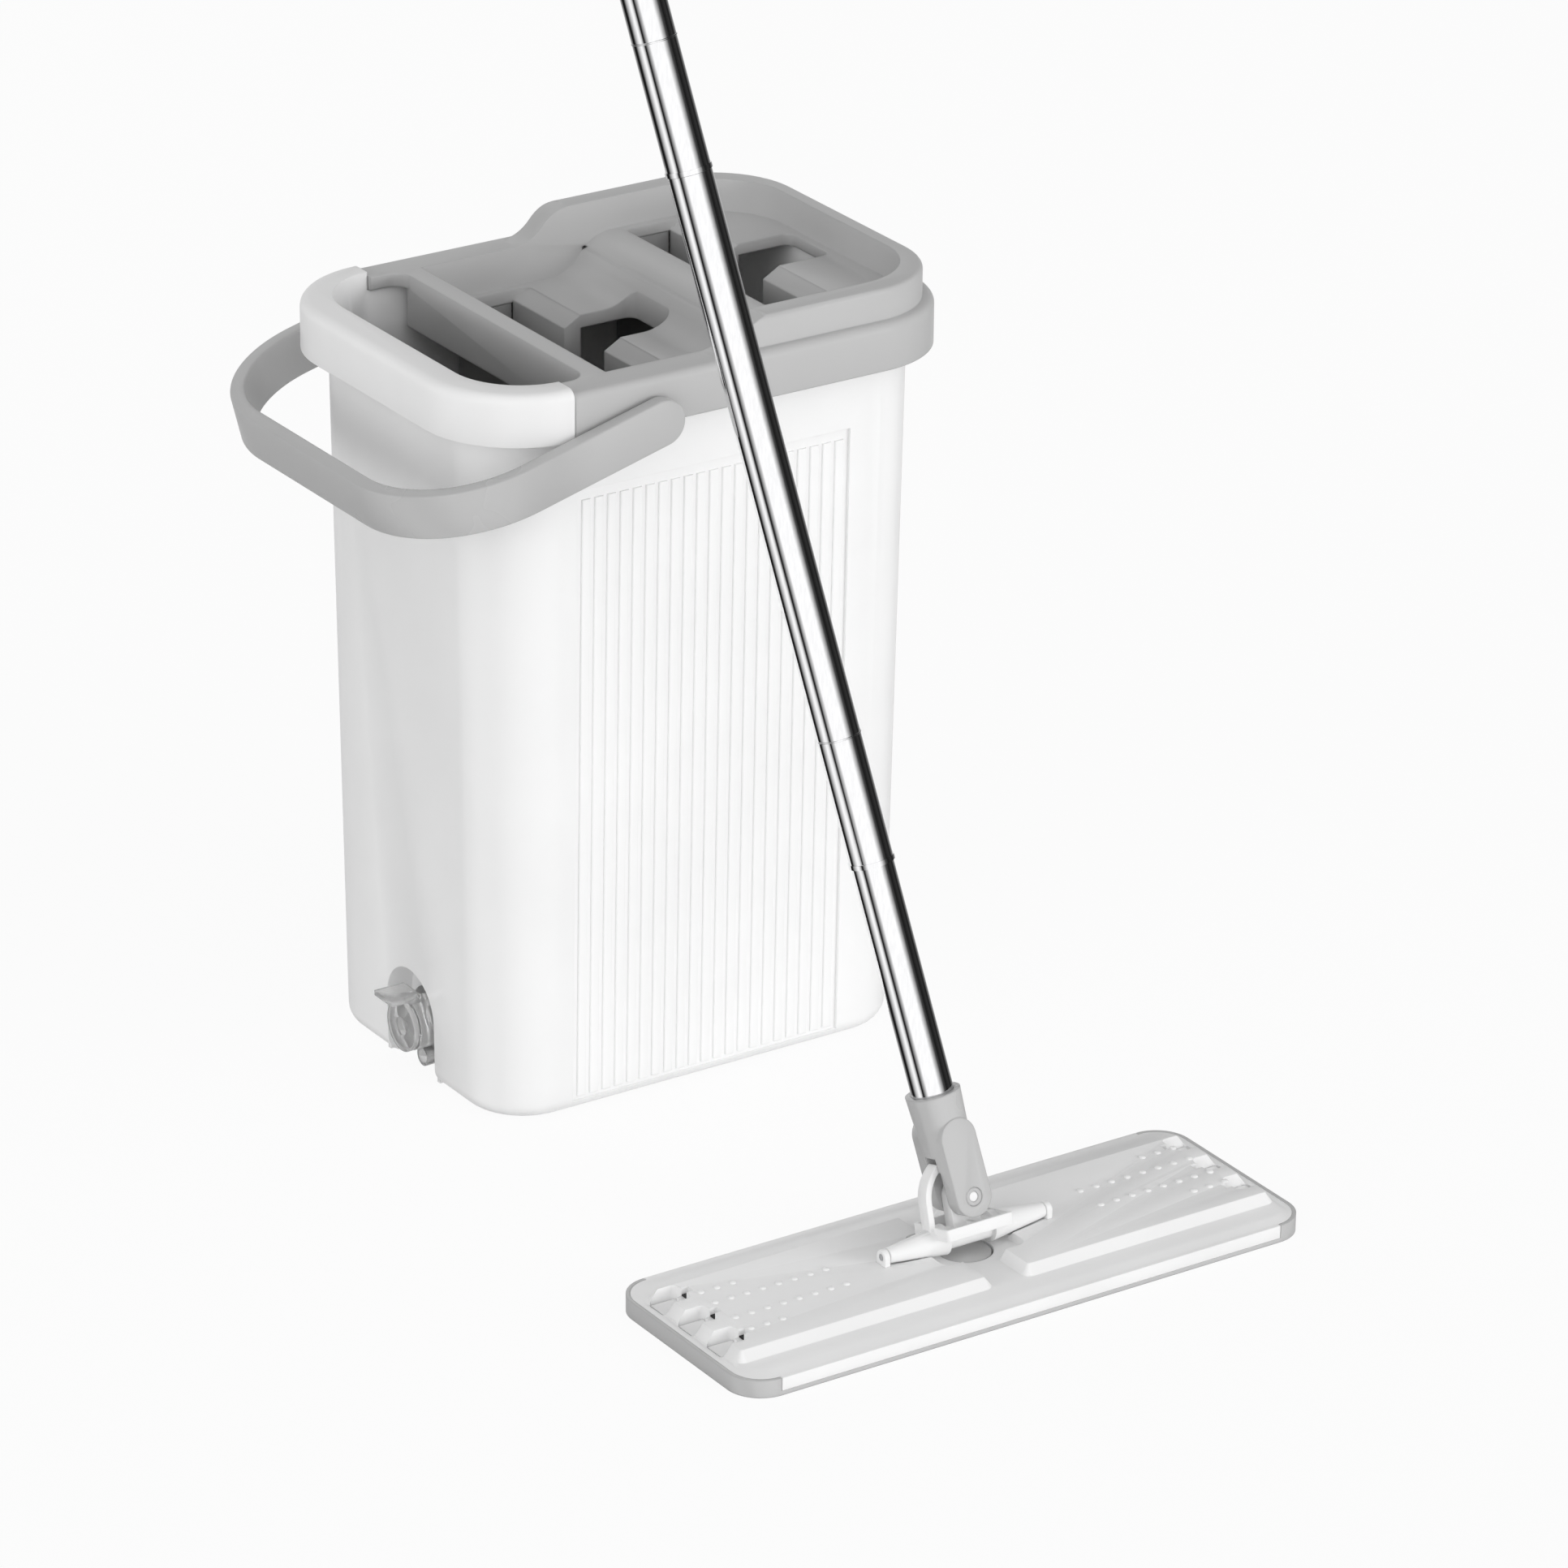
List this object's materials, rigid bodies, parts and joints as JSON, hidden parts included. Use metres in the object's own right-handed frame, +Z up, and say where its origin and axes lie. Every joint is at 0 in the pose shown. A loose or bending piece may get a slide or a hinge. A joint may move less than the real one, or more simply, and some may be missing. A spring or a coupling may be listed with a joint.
{
  "type": "mop and bucket with wringer",
  "caption": "Tall rectangular bucket with a lift-off cover holding a wash slot and a squeeze slot, carrying bail, drain stopper, and a flat mop with a jointed chromed pole.",
  "frame": {"origin": "middle of the bucket's foot, on the floor", "axes": "+X along the bucket's long side from the drain end to the dry slot, +Z up, the mop plate lies on the floor at -Y"},
  "size_m": [0.3112, 0.4666, 1.1323],
  "materials": {
    "white_plastic": "satin moulded",
    "plate_plastic": "satin moulded",
    "grey_plastic": "satin moulded",
    "chute_plastic": "satin moulded",
    "clear_plastic": "glossy, frosted clear",
    "dark_rubber": "matte",
    "polished_tube": "polished",
    "steel_pin": "ground",
    "plug_plastic": "moulded",
    "grip_rubber": "matte, grooved",
    "cap_plastic": "satin moulded",
    "hook_fabric": "short hooks"
  },
  "bodies": {
    "bucket": {"bucket_body": "white_plastic", "drain_seat": "clear_plastic", "drain_gasket": "dark_rubber", "drain_nut": "white_plastic"},
    "drain_stopper": {"drain_plug": "clear_plastic", "drain_pull_tab": "clear_plastic"},
    "wringer": {"wringer_cover": "grey_plastic", "wash_chute": "chute_plastic", "dry_chute": "chute_plastic", "wash_roller_pin_upper": "steel_pin", "wash_roller_pin_lower": "steel_pin", "wash_comb": "chute_plastic", "dry_blade_holder": "chute_plastic", "dry_blade": "dark_rubber", "dry_flap_pin": "steel_pin", "handle_stud_front": "grey_plastic", "handle_stud_back": "grey_plastic"},
    "wash_roller_top": {"wash_roller_upper": "chute_plastic"},
    "wash_roller_bottom": {"wash_roller_lower": "chute_plastic"},
    "squeeze_flap": {"dry_flap": "chute_plastic", "dry_flap_blade": "dark_rubber"},
    "bail": {"bail_handle": "grey_plastic"},
    "mop_head": {"base_plate": "grey_plastic", "plate_shell": "plate_plastic", "axle_ear_left": "plate_plastic", "axle_ear_right": "plate_plastic", "joint_axle": "steel_pin", "joint_boss": "grey_plastic", "hook_strip_left": "hook_fabric", "hook_strip_right": "hook_fabric", "cloth_clip_left_1": "plate_plastic", "cloth_clip_left_2": "plate_plastic", "cloth_clip_left_3": "plate_plastic", "cloth_clip_right_1": "plate_plastic", "cloth_clip_right_2": "plate_plastic", "cloth_clip_right_3": "plate_plastic"},
    "yoke": {"mop_yoke": "plate_plastic"},
    "pole": {"pole_clevis": "grey_plastic", "clevis_pin": "plate_plastic", "pin_ring_front": "grey_plastic", "pin_ring_back": "grey_plastic", "pole_stub": "polished_tube", "pole_lower": "polished_tube", "pole_middle": "polished_tube", "pole_upper": "polished_tube", "thread_plug_lower": "plug_plastic", "thread_plug_middle": "plug_plastic", "thread_plug_upper": "plug_plastic", "grip_sleeve": "grip_rubber", "hang_cap": "cap_plastic"}
  },
  "joints": [
    {"name": "stopper_pull", "type": "slide", "parent": "bucket", "child": "drain_stopper", "axis": [-1, 0, 0], "range_m": [0, 0.014]},
    {"name": "wringer_lift", "type": "slide", "parent": "bucket", "child": "wringer", "axis": [0, 0, 1], "range_m": [0, 0.17]},
    {"name": "wash_roller_top_spin", "type": "hinge", "parent": "wringer", "child": "wash_roller_top", "pos_m": [-0.03, 0.005, 0.312], "axis": [0, 1, 0], "continuous": true},
    {"name": "wash_roller_bottom_spin", "type": "hinge", "parent": "wringer", "child": "wash_roller_bottom", "pos_m": [-0.03, 0.005, 0.286], "axis": [0, 1, 0], "continuous": true},
    {"name": "squeeze_flap_swing", "type": "hinge", "parent": "wringer", "child": "squeeze_flap", "pos_m": [0.081, 0.005, 0.318], "axis": [0, 1, 0], "range_deg": [-5, 4], "stiffness_Nm_per_rad": 2},
    {"name": "bail_swing", "type": "hinge", "parent": "wringer", "child": "bail", "pos_m": [-0.042, 0, 0.3445], "axis": [0, 1, 0], "range_deg": [-25, 160]},
    {"name": "mop_lift", "type": "slide", "parent": "bucket", "child": "mop_head", "axis": [0, 0, 1], "range_m": [0, 0.3]},
    {"name": "yoke_tilt", "type": "hinge", "parent": "mop_head", "child": "yoke", "pos_m": [-0.0105, -0.3055, 0.018], "axis": [1, 0, 0], "range_deg": [-2, 56]},
    {"name": "pole_lean", "type": "hinge", "parent": "yoke", "child": "pole", "pos_m": [-0.0105, -0.30054, 0.0353], "axis": [0, 0.9613, -0.2756], "range_deg": [-15, 87]}
  ]
}
